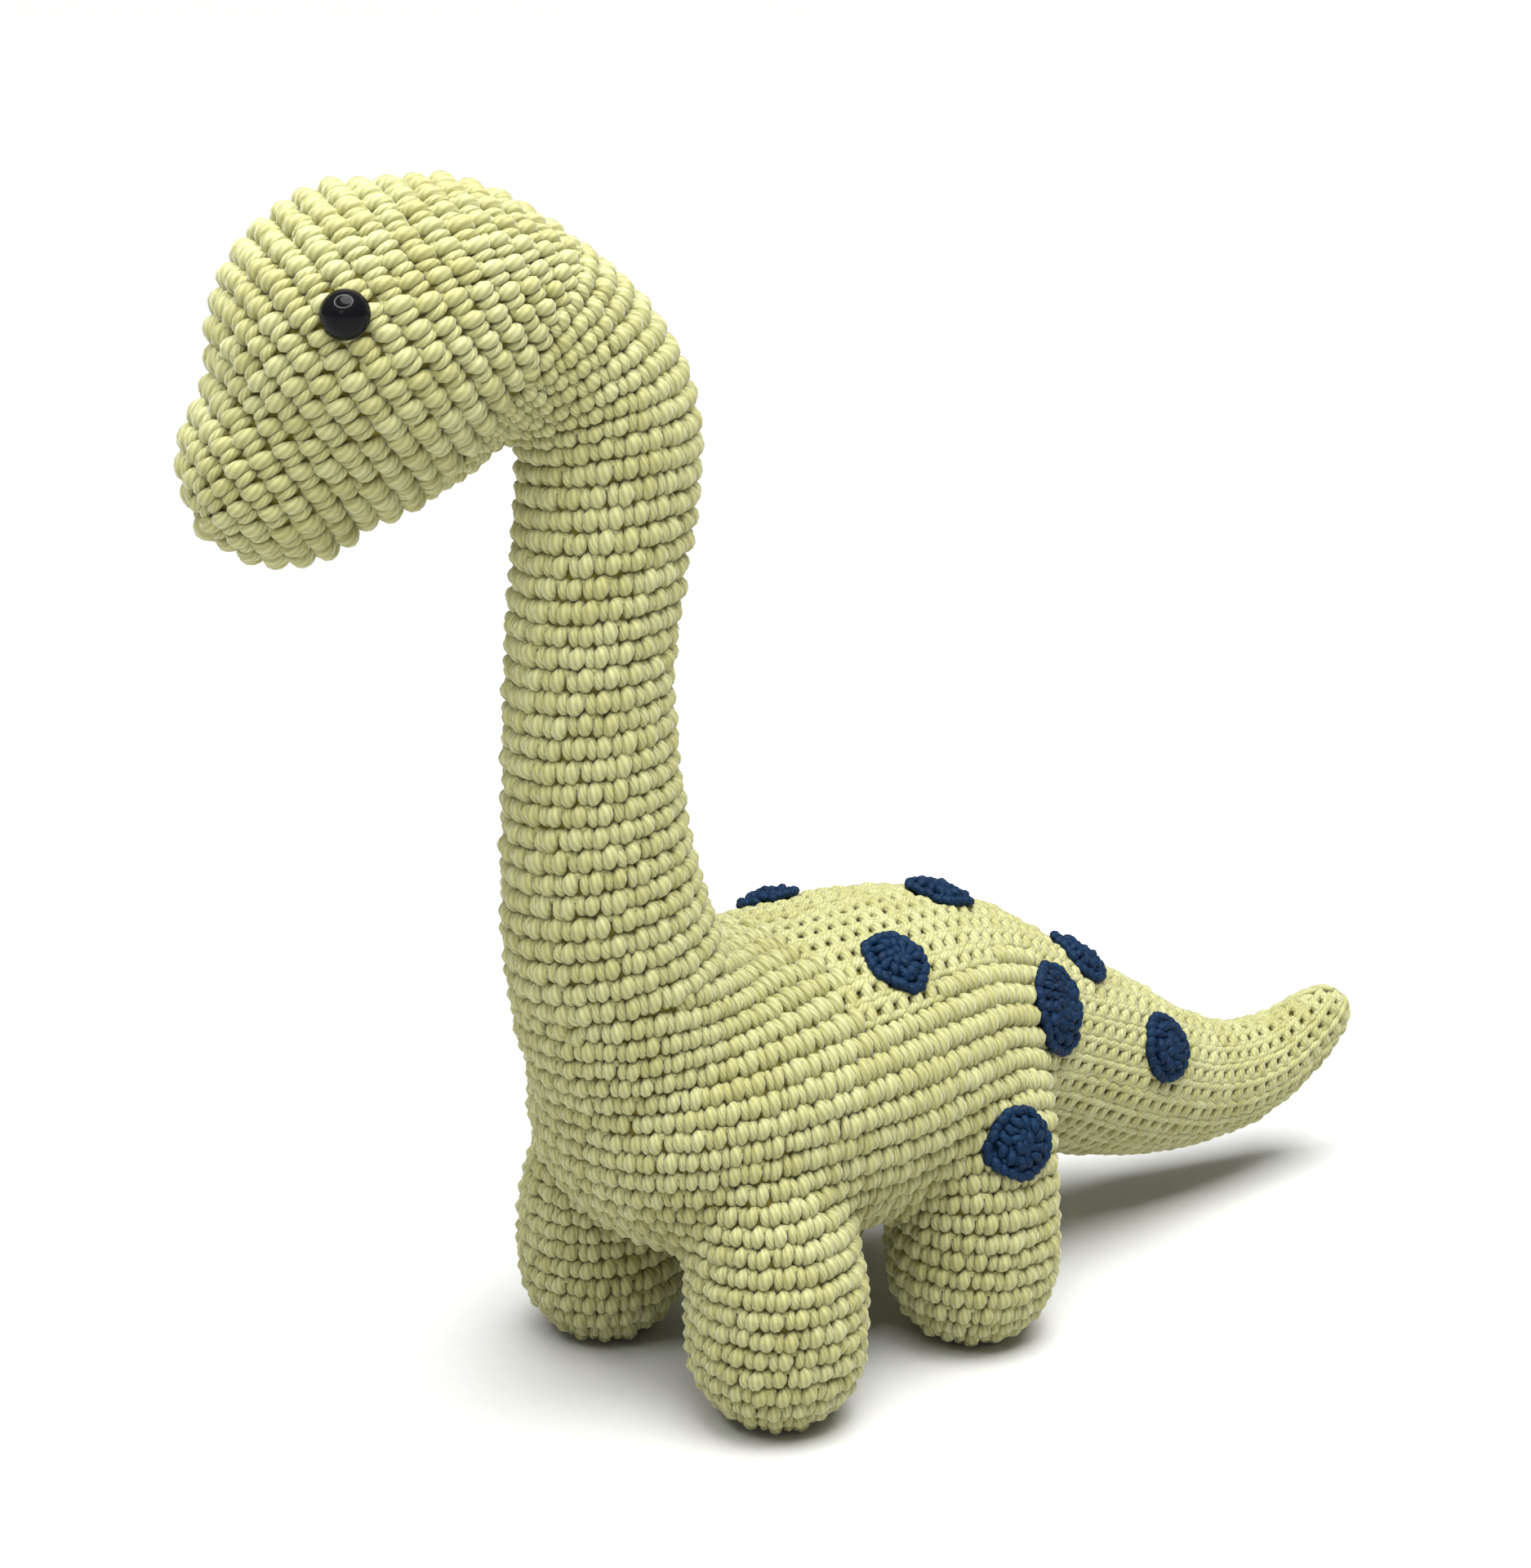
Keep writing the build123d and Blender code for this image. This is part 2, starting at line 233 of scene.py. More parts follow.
# ------------------------------------------------------------------ materials
class Nodes:
    """A short way to build a material's node tree."""

    def __init__(self, name):
        self.material = bpy.data.materials.new(name)
        self.material.use_nodes = True
        self.tree = self.material.node_tree
        self.shader = self.tree.nodes["Principled BSDF"]

    def node(self, kind, links=(), **values):
        """A node; links maps an input to a socket, and values set its properties."""
        node = self.tree.nodes.new(kind)
        for name, value in values.items():
            setattr(node, name, value)
        for socket, source in dict(links).items():
            if isinstance(source, (int, float, tuple)):
                node.inputs[socket].default_value = source
            else:
                self.tree.links.new(source, node.inputs[socket])
        return node

    def math(self, operation, a, b=0.0, c=0.0):
        """Arithmetic on sockets or numbers."""
        return self.node("ShaderNodeMath", {0: a, 1: b, 2: c}, operation=operation).outputs[0]

    def mix(self, share, a, b):
        """A colour between a and b."""
        node = self.node("ShaderNodeMix", data_type="RGBA")
        for socket, source in ((0, share), (6, a), (7, b)):
            if isinstance(source, (int, float, tuple)):
                node.inputs[socket].default_value = source
            else:
                self.tree.links.new(source, node.inputs[socket])
        return node.outputs[2]

    def noise(self, scale, detail=2.0):
        """Noise over the object's own coordinates."""
        links = {"Scale": scale, "Detail": detail}
        links["Vector"] = self.node("ShaderNodeTexCoord").outputs["Object"]
        return self.node("ShaderNodeTexNoise", links).outputs["Fac"]

    def shade(self, **values):
        """Constants on the shader's own sockets."""
        for name, value in values.items():
            self.shader.inputs[name.replace("_", " ")].default_value = value

    def feed(self, socket, source):
        """Joins a socket to one of the shader's own."""
        self.tree.links.new(source, self.shader.inputs[socket])


def linear(red, green, blue):
    """An sRGB colour, 0 to 255, as linear light with alpha."""
    parts = [c / 255 for c in (red, green, blue)]
    parts = [c / 12.92 if c <= 0.04045 else ((c + 0.055) / 1.055) ** 2.4 for c in parts]
    return (*parts, 1.0)


def yarn_material(name, light, dark, painted_groove_shade, sheen, gloss):
    """Mercerised cotton: plies wound round each strand, fine fibres, uneven dye, and painted shade
    in the furrows between the plies.
    """
    m = Nodes(name)
    strand = m.node("ShaderNodeUVMap", uv_map="strand").outputs["UV"]
    parts = m.node("ShaderNodeSeparateXYZ", {"Vector": strand})
    along, round_it = parts.outputs[0], parts.outputs[1]
    turns = m.math("MULTIPLY_ADD", along, 0.8, m.math("MULTIPLY", round_it, 6.0))
    wave = m.math("SINE", m.math("MULTIPLY", turns, 2 * math.pi))
    ply = m.math("MULTIPLY_ADD", wave, 0.5, 0.5)
    fibres = m.noise(900.0, 3.0)
    patches = m.noise(60.0, 2.0)
    own = m.node("ShaderNodeAttribute", attribute_name="shade").outputs["Fac"]
    blend = m.math("MULTIPLY_ADD", patches, 0.5, m.math("MULTIPLY", own, 0.5))
    colour = m.mix(blend, dark, light)
    # painted shade: the furrows between the plies are darkened up to 0.4 of the way to the groove
    # colour
    painted_furrow_shade = m.math("MULTIPLY", m.math("SUBTRACT", 1.0, ply), 0.4)
    colour = m.mix(painted_furrow_shade, colour, painted_groove_shade)
    m.feed("Base Color", colour)
    rough = m.math("MULTIPLY_ADD", fibres, 0.25, 0.48)
    m.feed("Roughness", rough)
    height = m.math("MULTIPLY_ADD", fibres, 0.35, m.math("MULTIPLY", ply, 0.65))
    bump = m.node("ShaderNodeBump", {"Height": height, "Strength": 0.32, "Distance": 0.0003})
    m.feed("Normal", bump.outputs[0])
    m.shade(Sheen_Weight=sheen, Sheen_Roughness=0.35, Specular_IOR_Level=gloss)
    return m.material


def painted_shade_backing(name, light, dark):
    """The back of the cloth, seen only down the gaps between stitches, in colours darkened to paint
    the shade there.
    """
    m = Nodes(name)
    lumps = m.noise(420.0, 3.0)
    m.feed("Base Color", m.mix(lumps, dark, light))
    bump = m.node("ShaderNodeBump", {"Height": lumps, "Strength": 0.8, "Distance": 0.0006})
    m.feed("Normal", bump.outputs[0])
    m.feed("Roughness", m.math("MULTIPLY_ADD", lumps, 0.15, 0.8))
    m.shade(Specular_IOR_Level=0.1)
    return m.material


def eye_material():
    """Polished black plastic with faint moulding unevenness."""
    m = Nodes("eye_black_plastic")
    cloud = m.noise(240.0, 3.0)
    m.feed("Base Color", m.mix(cloud, (0.003, 0.003, 0.004, 1), (0.008, 0.008, 0.009, 1)))
    m.feed("Roughness", m.math("MULTIPLY_ADD", cloud, 0.05, 0.05))
    bump = m.node("ShaderNodeBump", {"Height": cloud, "Strength": 0.04, "Distance": 0.0002})
    m.feed("Normal", bump.outputs[0])
    m.shade(Specular_IOR_Level=0.1)
    return m.material


def washer_material():
    """Milky polypropylene of the locking washers."""
    m = Nodes("washer_white_plastic")
    cloud = m.noise(180.0, 2.0)
    m.feed("Base Color", m.mix(cloud, linear(228, 228, 222), linear(243, 243, 238)))
    m.feed("Roughness", m.math("MULTIPLY_ADD", cloud, 0.2, 0.35))
    return m.material


def floor_material():
    """Pale matt paper."""
    m = Nodes("floor_paper")
    grain = m.noise(300.0, 4.0)
    m.feed("Base Color", m.mix(grain, (0.63, 0.63, 0.62, 1), (0.67, 0.67, 0.66, 1)))
    m.feed("Roughness", m.math("MULTIPLY_ADD", grain, 0.1, 0.85))
    return m.material


# each yarn's third colour is painted shade for the furrows between its plies
GREEN = yarn_material(
    "green_cotton", linear(190, 192, 143), linear(165, 162, 100), linear(108, 99, 40), 0.45, 0.42
)
NAVY = yarn_material(
    "navy_cotton", linear(12, 48, 80), linear(7, 30, 56), linear(4, 15, 31), 0.0, 0.15
)
# the backing colours are the yarns' colours darkened: painted shade for the gaps between stitches
GREEN_BACK_PAINTED_SHADE = painted_shade_backing("green_backing_painted_shade", linear(132, 123, 56), linear(104, 95, 38))
NAVY_BACK_PAINTED_SHADE = painted_shade_backing("navy_backing_painted_shade", linear(16, 32, 52), linear(9, 18, 32))


# ------------------------------------------------------------------ surface of the body
class Surface:
    """Points, triangles and point normals."""

    def __init__(self, points, triangles):
        self.points = points
        self.triangles = triangles
        self.refresh()

    def refresh(self):
        """Works out the areas and normals again."""
        a, b, c = (self.points[self.triangles[:, k]] for k in range(3))
        self.face_normal = np.cross(b - a, c - a)
        self.area2 = np.linalg.norm(self.face_normal, axis=1)
        self.normals = unit(self.gather(self.face_normal))

    def gather(self, per_face):
        """Sum of a per-triangle vector over the triangles round each point."""
        total = np.zeros((len(self.points), per_face.shape[1]))
        for axis in range(per_face.shape[1]):
            for k in range(3):
                total[:, axis] += np.bincount(
                    self.triangles[:, k], per_face[:, axis], len(self.points)
                )
        return total

    def smooth(self, steps, share=0.5):
        """Each point moves part of the way to the mean of its neighbours."""
        i = self.triangles.ravel()
        j = np.roll(self.triangles, -1, axis=1).ravel()
        count = np.bincount(i, minlength=len(self.points))[:, None]
        for _ in range(steps):
            mean = np.zeros_like(self.points)
            for axis in range(3):
                mean[:, axis] = np.bincount(i, self.points[j, axis], len(self.points))
            self.points += share * (mean / count - self.points)
        self.refresh()

    def part(self, keep):
        """The triangles that keep marks, with their own point list, and its old numbers."""
        used, triangles = np.unique(self.triangles[keep], return_inverse=True)
        return Surface(self.points[used], triangles.reshape(-1, 3)), used


def mesh_arrays(mesh):
    """Points and triangles of a Blender mesh."""
    mesh.calc_loop_triangles()
    points = np.empty(len(mesh.vertices) * 3)
    mesh.vertices.foreach_get("co", points)
    triangles = np.empty(len(mesh.loop_triangles) * 3, int)
    mesh.loop_triangles.foreach_get("vertices", triangles)
    return points.reshape(-1, 3), triangles.reshape(-1, 3)


def outer_shell(points, triangles):
    """The connected shell that holds the highest point."""
    label = np.arange(len(points))
    while True:
        low = label[triangles].min(axis=1)
        before = label.copy()
        for k in range(3):
            np.minimum.at(label, triangles[:, k], low)
        label = label[label]
        if np.array_equal(before, label):
            break
    keep = label[triangles[:, 0]] == label[np.argmax(points[:, 2])]
    used, kept = np.unique(triangles[keep], return_inverse=True)
    return points[used], kept.reshape(-1, 3)


def body_surface():
    """One closed skin round all the padded CAD solids, with soft creases."""
    all_points, all_triangles, count = [], [], 0
    for name, node in frame["nodes"].items():
        if name.endswith(("_skin", "_stuffing")):
            points, triangles = mesh_arrays(node.data)
            all_points.append(points)
            all_triangles.append(triangles + count)
            count += len(points)
    mesh = bpy.data.meshes.new("whole")
    mesh.from_pydata(np.concatenate(all_points).tolist(), [],
                     np.concatenate(all_triangles).tolist())
    whole = bpy.data.objects.new("whole", mesh)
    bpy.context.scene.collection.objects.link(whole)
    remesh = whole.modifiers.new("remesh", "REMESH")
    remesh.mode = "VOXEL"
    remesh.voxel_size = 1.5 * MM
    shell = whole.evaluated_get(bpy.context.evaluated_depsgraph_get()).to_mesh()
    points, triangles = mesh_arrays(shell)
    bpy.data.objects.remove(whole)
    points, triangles = outer_shell(points, triangles)
    points = points / MM + MIDDLE
    surface = Surface(points, triangles)
    surface.smooth(12)
    return surface


# ------------------------------------------------------------------ rows of stitches
def spine_at(y):
    """Sideways place and direction of the trunk and tail at a length along them."""
    def place(at, column):
        return np.interp(at, SPINE[:, 0], SPINE[:, column])

    dx, dz = (place(y + SPINE_STEP, k) - place(y - SPINE_STEP, k) for k in (1, 2))
    direction = unit(np.stack([dx, np.full_like(y, 2 * SPINE_STEP), dz], axis=1))
    return place(y, 1), direction


def neck_floor(points):
    """Height above the round where the neck's own rows begin."""
    y, z, slope = NECK_FLOOR
    return points[:, 2] - z - slope * (points[:, 1] - y)


HEAD_AHEAD = np.array([-math.sin(HEAD_YAW), -math.cos(HEAD_YAW), 0])
HEAD_UP = np.array([0.0, 0.0, 1.0])
HEAD_LEFT = np.cross(HEAD_UP, HEAD_AHEAD)
HEAD_AXIS = math.cos(HEAD_DIP) * HEAD_AHEAD - math.sin(HEAD_DIP) * HEAD_UP
# the seam where the head's rounds begin: a plane through the throat's crook and the nape
SEAM_THROAT = (26.9, 9.0)            # forward of the neck's top, up from it
SEAM_NAPE = (8.9, 35.2)
FAN_POINT = (29.3, 4.1)               # the nape's rounds fan out about this point
FAN_REACH = 42.0                      # distance from it at which they are a full row apart
FAN_BLEND = (-0.25, 0.3)              # angles, in radians, where the level rounds turn into the fan
FAN_PITCH = (0.7, 1.25)               # least and most distance of the fanned rows, as shares
seam_run = np.array([SEAM_NAPE[0] - SEAM_THROAT[0], SEAM_NAPE[1] - SEAM_THROAT[1]])
SEAM_NORMAL = unit(seam_run[1] * HEAD_AHEAD - seam_run[0] * HEAD_UP)
SEAM_POINT = NECK_TOP + SEAM_THROAT[0] * HEAD_AHEAD + SEAM_THROAT[1] * HEAD_UP


def head_side(points):
    """Distance past the seam, towards the snout."""
    return (points - SEAM_POINT) @ SEAM_NORMAL


def head_goal(points, normals):
    """On the head the rows face the snout."""
    axis = np.broadcast_to(HEAD_AXIS, points.shape)
    return across(axis, normals), np.full(len(points), HEAD_PITCH)


def neck_goal(points, normals):
    """Rounds that fan out over the nape."""
    lean = np.radians(np.interp(points[:, 2], NECK_LEAN[:, 0], NECK_LEAN[:, 1]))
    from_top = points - NECK_TOP
    behind = FAN_POINT[0] - from_top @ HEAD_AHEAD
    above = from_top[:, 2] - FAN_POINT[1]
    fanned = np.arctan2(above, np.maximum(behind, 1))
    share = ramp(fanned, *FAN_BLEND)
    lean = lean * (1 - share) + np.maximum(fanned, 0) * share
    normal = np.sin(lean)[:, None] * HEAD_AHEAD + np.cos(lean)[:, None] * HEAD_UP
    reach = np.hypot(behind, above) / FAN_REACH
    pitch = ROW_PITCH * (1 - share + share * np.clip(reach, *FAN_PITCH))
    return across(normal, normals), pitch


def trunk_goal(points, normals):
    """Rows that ring the chest and the legs and run along the flanks and the tail."""
    x, y, z = points.T
    middle_x, direction = spine_at(y)
    side = np.where(x > middle_x, 1.0, -1.0)[:, None]
    along = across(side * direction, normals)
    lengthwise = np.cross(normals, along)
    neck_way = neck_goal(points, normals)[0]
    level = across(np.broadcast_to(HEAD_UP, points.shape), normals)
    near_neck = ramp(neck_floor(points), *NECK_BLEND)[:, None]
    rings = unit(level * (1 - near_neck) + neck_way * near_neck)
    chest = (1 - ramp(y, *CHEST_BLEND))[:, None]
    goal = unit(lengthwise * (1 - chest) + rings * chest)
    for leg_x, leg_y in LEGS.values():
        reach = np.hypot(x - leg_x, y - leg_y)
        near = ((1 - ramp(reach, *LEG_RING_REACH)) * (1 - ramp(z, *LEG_RING_TOP)))[:, None]
        goal = unit(goal * (1 - near) + level * near)
    return goal, np.interp(y, TAIL_PITCH[:, 0], TAIL_PITCH[:, 1])


SOLVER_STEPS = 3000        # most steps of the solution
SOLVER_STOP = 1e-9         # it ends when the error has fallen to this share


def solve_rows(surface, goal, pitch):
    """The row number at each point: its slope follows goal, one row for each pitch."""
    corner = surface.points[surface.triangles]
    face = surface.face_normal / surface.area2[:, None]
    hats = []
    for k in range(3):
        edge = corner[:, (k + 2) % 3] - corner[:, (k + 1) % 3]
        hats.append(np.cross(face, edge) / surface.area2[:, None])
    wanted = across(goal[surface.triangles].mean(axis=1), face)
    wanted = wanted / pitch[surface.triangles].mean(axis=1)[:, None]
    area = surface.area2 / 2
    count = len(surface.points)
    right = np.zeros(count)
    rows, columns, weights = [], [], []
    for k in range(3):
        right += np.bincount(surface.triangles[:, k], area * dot(hats[k], wanted), count)
        for j in range(3):
            rows.append(surface.triangles[:, k])
            columns.append(surface.triangles[:, j])
            weights.append(area * dot(hats[k], hats[j]))
    rows, columns, weights = (np.concatenate(a) for a in (rows, columns, weights))
    diagonal = np.bincount(rows[rows == columns], weights[rows == columns], count)

    def apply(x):
        return np.bincount(rows, weights * x[columns], count)

    # conjugate gradients, started from the height
    x = surface.points[:, 2] / ROW_PITCH
    rest = right - apply(x)
    step = rest / diagonal
    old = dot(rest, rest / diagonal)
    start = old
    for _ in range(SOLVER_STEPS):
        image = apply(step)
        share = old / dot(step, image)
        x = x + share * step
        rest = rest - share * image
        new = dot(rest, rest / diagonal)
        if new < SOLVER_STOP * start:
            break
        step = rest / diagonal + (new / old) * step
        old = new
    slope = sum(hats[k] * x[surface.triangles[:, k]][:, None] for k in range(3))
    mean = surface.gather(slope * area[:, None])
    total = surface.gather(np.repeat(area[:, None], 3, axis=1))
    return x, mean / total


def chains(first, second):
    """Joins links between numbered crossings into open or closed chains."""
    keys, index = np.unique(np.concatenate([first, second]), return_inverse=True)
    a, b = index[: len(first)], index[len(first):]
    near = [[] for _ in keys]
    for p, q in zip(a.tolist(), b.tolist()):
        near[p].append(q)
        near[q].append(p)
    seen = np.zeros(len(keys), bool)
    ends = [p for p, around in enumerate(near) if len(around) == 1]
    found = []
    for start in ends + list(range(len(keys))):
        if seen[start]:
            continue
        chain = [start]
        seen[start] = True
        while True:
            onward = [q for q in near[chain[-1]] if not seen[q]]
            if not onward:
                break
            seen[onward[0]] = True
            chain.append(onward[0])
        closed = len(near[start]) == 2 and len(chain) > 2
        found.append((keys[chain], closed))
    return found


def row_lines(surface, field, level):
    """The lines on the surface where field has a level, as (i, j, share) crossings."""
    high = field[surface.triangles] > level
    crossing = high.any(axis=1) & ~high.all(axis=1)
    triangles = surface.triangles[crossing]
    high = high[crossing]
    count = len(surface.points)
    pairs = np.stack([triangles, np.roll(triangles, -1, axis=1)], axis=2)
    cut = high != np.roll(high, -1, axis=1)
    key = pairs.min(axis=2) * count + pairs.max(axis=2)
    both = key[cut].reshape(-1, 2)
    lines = []
    for keys, closed in chains(both[:, 0], both[:, 1]):
        i, j = keys // count, keys % count
        share = (level - field[i]) / (field[j] - field[i])
        lines.append((i, j, np.clip(share, 0, 1)[:, None], closed))
    return lines


class Stitches:
    """Places, frames and sizes of many stitches."""

    def __init__(self, place, normal, up, width, height):
        self.place = place
        self.normal = unit(normal)
        self.up = across(up, self.normal)
        self.right = np.cross(self.up, self.normal)
        self.width = width
        self.height = height

    def pick(self, keep):
        """The stitches that keep marks."""
        return Stitches(
            self.place[keep], self.normal[keep], self.up[keep], self.width[keep],
            self.height[keep])

    @staticmethod
    def join(groups):
        """Several groups of stitches as one."""
        names = ("place", "normal", "up", "width", "height")
        return Stitches(*(np.concatenate([getattr(g, n) for g in groups]) for n in names))


def lay_rows(surface, field, slope, drift, widths, offset=0.0):
    """Stitches at even steps along every row of a surface."""
    groups = []
    lowest = math.ceil(field.min() - 0.5 + offset)
    for number in range(lowest, math.floor(field.max() + 0.5) + 1):
        level = number + offset
        for i, j, share, closed in row_lines(surface, field, level):
            if len(i) < 4:
                continue
            values = np.concatenate([surface.points, surface.normals, slope], axis=1)
            line = values[i] * (1 - share) + values[j] * share
            right = np.cross(line[:, 6:9], line[:, 3:6])
            if dot(line[1:, :3] - line[:-1, :3], right[1:]).sum() < 0:
                line = line[::-1]
            if closed:
                line = np.roll(line, -int(np.argmin(line[:, 0] - 0.3 * line[:, 1])), axis=0)
                line = np.concatenate([line, line[:1]])
            inner = line.copy()
            for _ in range(2):
                inner[1:-1] = (line[:-2] + 2 * line[1:-1] + line[2:]) / 4
                line = inner.copy()
            step = np.linalg.norm(np.diff(line[:, :3], axis=0), axis=1)
            run = np.concatenate([[0], np.cumsum(step)])
            width = float(np.mean(widths(line[:, :3])))
            count = int(round(run[-1] / width))
            if count < 1:
                continue
            phase = (number * drift) % 1.0 if closed else 0.5
            at = (np.arange(count) + phase) / count * run[-1]
            sampled = np.stack([np.interp(at, run, line[:, k]) for k in range(9)], axis=1)
            steep = np.linalg.norm(sampled[:, 6:9], axis=1)
            groups.append(Stitches(
                sampled[:, :3], sampled[:, 3:6], sampled[:, 6:9],
                np.full(count, run[-1] / count),
                np.clip(1 / np.maximum(steep, 1e-6), 2.0, 6.5)))
    return Stitches.join(groups)


# ------------------------------------------------------------------ one stitch
class Shape:
    """Points, faces and strand coordinates of a small piece of mesh."""

    def __init__(self, points, loops, starts, uv):
        self.points, self.loops, self.starts, self.uv = points, loops, starts, uv

    @staticmethod
    def join(shapes):
        """Several shapes as one."""
        points, loops, starts, uv = [], [], [], []
        vertex = loop = 0
        for s in shapes:
            points.append(s.points)
            loops.append(s.loops + vertex)
            starts.append(s.starts + loop)
            uv.append(s.uv)
            vertex += len(s.points)
            loop += len(s.loops)
        return Shape(*(np.concatenate(a) for a in (points, loops, starts, uv)))


def curve_through(points, count):
    """A smooth curve through a few points, evenly sampled."""
    points = np.asarray(points, float)
    knots = np.arange(len(points))
    fit = np.polyfit(knots, points, min(3, len(points) - 1))
    at = np.linspace(0, len(points) - 1, count)
    return sum(np.outer(at ** k, row) for k, row in enumerate(fit[::-1]))


def strand(points, radii, rings=8, sides=8):
    """A length of yarn through points (right, up, out) that swells and thins as radii say."""
    centres = curve_through(points, rings)
    radius = np.interp(np.linspace(0, 1, rings), np.linspace(0, 1, len(radii)), radii)
    tangent = unit(np.gradient(centres, axis=0))
    out = across(np.broadcast_to([0.0, 0.0, 1.0], tangent.shape), tangent)
    sideways = np.cross(tangent, out)
    angle = np.arange(sides) / sides * 2 * math.pi
    ring = (np.cos(angle)[None, :, None] * out[:, None] +
            np.sin(angle)[None, :, None] * sideways[:, None])
    shell = centres[:, None] + radius[:, None, None] * ring
    run = np.concatenate([[0], np.cumsum(np.linalg.norm(np.diff(centres, axis=0), axis=1))])
    points, loops, starts, uv = shell.reshape(-1, 3), [], [], []
    for r in range(rings - 1):
        for s in range(sides):
            t = (s + 1) % sides
            starts.append(len(loops))
            loops += [r * sides + s, r * sides + t, (r + 1) * sides + t, (r + 1) * sides + s]
            uv += [(run[r], s / sides), (run[r], (s + 1) / sides),
                   (run[r + 1], (s + 1) / sides), (run[r + 1], s / sides)]
    for r, order in ((0, range(sides - 1, -1, -1)), (rings - 1, range(sides))):
        starts.append(len(loops))
        loops += [r * sides + s for s in order]
        uv += [(run[r], s / sides) for s in order]
    return Shape(points, np.array(loops), np.array(starts), np.array(uv))


# a plain stitch, in millimetres of a stitch of standard size: the narrow left leg, the
# thick right leg, and the bar that runs over to the next stitch
SINGLE = Shape.join([
    strand([(-1.35, -1.9, -1.35), (-1.65, -0.75, 0.05), (-1.55, 0.6, 0.2), (-1.0, 1.75, -1.1)],
           (0.75, 1.0, 1.02, 0.8)),
    strand([(0.1, -1.85, -1.4), (0.5, -0.6, 0.1), (0.85, 0.55, 0.35), (1.3, 1.7, -1.05)],
           (1.0, 1.52, 1.6, 1.1)),
    strand([(1.2, 1.2, -1.2), (1.9, 1.5, -0.65), (2.5, 1.3, -0.65), (3.1, 0.8, -1.1)],
           (0.8, 0.93, 0.93, 0.75), rings=6, sides=6),
])
# a stitch seen as two ropes with one post between them, and holes beside the post
LADDER = Shape.join([
    strand([(-2.8, 1.25, -0.3), (-0.9, 1.6, 0.2), (0.9, 1.4, 0.25), (2.8, 1.65, -0.3)],
           (0.8, 1.08, 1.08, 0.8)),
    strand([(-2.8, -1.5, -0.5), (-0.9, -1.3, -0.05), (0.9, -1.5, -0.05), (2.8, -1.2, -0.5)],
           (0.75, 0.95, 0.95, 0.75)),
    strand([(-0.8, -1.6, -0.7), (-0.35, -0.5, 0.0), (0.3, 0.5, 0.05), (0.8, 1.5, -0.5)],
           (1.15, 1.42, 1.42, 1.15)),
])
# the edge of a spot: one thick strand that lies along it
EDGE = strand([(0.1, -2.6, -0.6), (-0.2, -0.9, 0.1), (0.2, 0.9, 0.15), (-0.1, 2.6, -0.5)],
              (0.9, 1.75, 1.75, 0.9))


def knit(shape, stitches, jitter=1.0):
    """Copies of a stitch shape at every place, each slightly uneven."""
    count = len(stitches.width)
    turn = rng.normal(0, math.radians(4) * jitter, count)
    size = 1 + rng.normal(0, 0.045 * jitter, (count, 3))
    shift = rng.normal(0, 0.13 * jitter, (count, 3))
    a, b, c = shape.points.T
    cos, sin = np.cos(turn)[:, None], np.sin(turn)[:, None]
    wide = (stitches.width / STITCH_WIDTH * size[:, 0])[:, None] * a
    tall = (stitches.height / ROW_PITCH * size[:, 1])[:, None] * b
    scale = np.sqrt(stitches.width * stitches.height / (STITCH_WIDTH * ROW_PITCH))
    deep = (scale * size[:, 2])[:, None] * c
    wide, tall = cos * wide - sin * tall, sin * wide + cos * tall
    wide, tall, deep = (v + shift[:, k:k + 1] for k, v in enumerate((wide, tall, deep)))
    points = (stitches.place[:, None] + wide[..., None] * stitches.right[:, None]
              + tall[..., None] * stitches.up[:, None]
              + deep[..., None] * stitches.normal[:, None])
    vertex, loop = len(shape.points), len(shape.loops)
    number = np.arange(count)
    made = Shape(
        points.reshape(-1, 3),
        (shape.loops[None] + number[:, None] * vertex).ravel(),
        (shape.starts[None] + number[:, None] * loop).ravel(),
        (shape.uv[None] + rng.uniform(0, 9, (count, 1, 1)) * np.array([1, 0])).reshape(-1, 2))
    made.shade = np.repeat(rng.uniform(0, 1, count), vertex)
    return made


def join_made(groups):
    """Knitted stitches of several shapes as one, with their shades."""
    groups = [g for g in groups if len(g.points)]
    made = Shape.join(groups)
    made.shade = np.concatenate([g.shade for g in groups])
    return made


# ------------------------------------------------------------------ making pieces
def make_piece(name, shape, material, shade=None):
    """A Blender mesh from a shape in millimetres."""
    mesh = bpy.data.meshes.new(name)
    points = (shape.points - MIDDLE) * MM
    points[:, 2] = np.maximum(points[:, 2], SOLE_HEIGHT * MM)
    mesh.vertices.add(len(points))
    mesh.vertices.foreach_set("co", points.astype(np.float32).ravel())
    mesh.loops.add(len(shape.loops))
    mesh.loops.foreach_set("vertex_index", shape.loops.astype(np.int32))
    mesh.polygons.add(len(shape.starts))
    mesh.polygons.foreach_set("loop_start", shape.starts.astype(np.int32))
    mesh.polygons.foreach_set("use_smooth", np.ones(len(shape.starts), bool))
    mesh.update(calc_edges=True)
    layer = mesh.uv_layers.new(name="strand")
    layer.data.foreach_set("uv", shape.uv.astype(np.float32).ravel())
    if shade is not None:
        attribute = mesh.attributes.new("shade", "FLOAT", "POINT")
        attribute.data.foreach_set("value", shade.astype(np.float32))
    mesh.materials.append(material)
    piece = bpy.data.objects.new(name, mesh)
    bpy.context.scene.collection.objects.link(piece)
    return piece


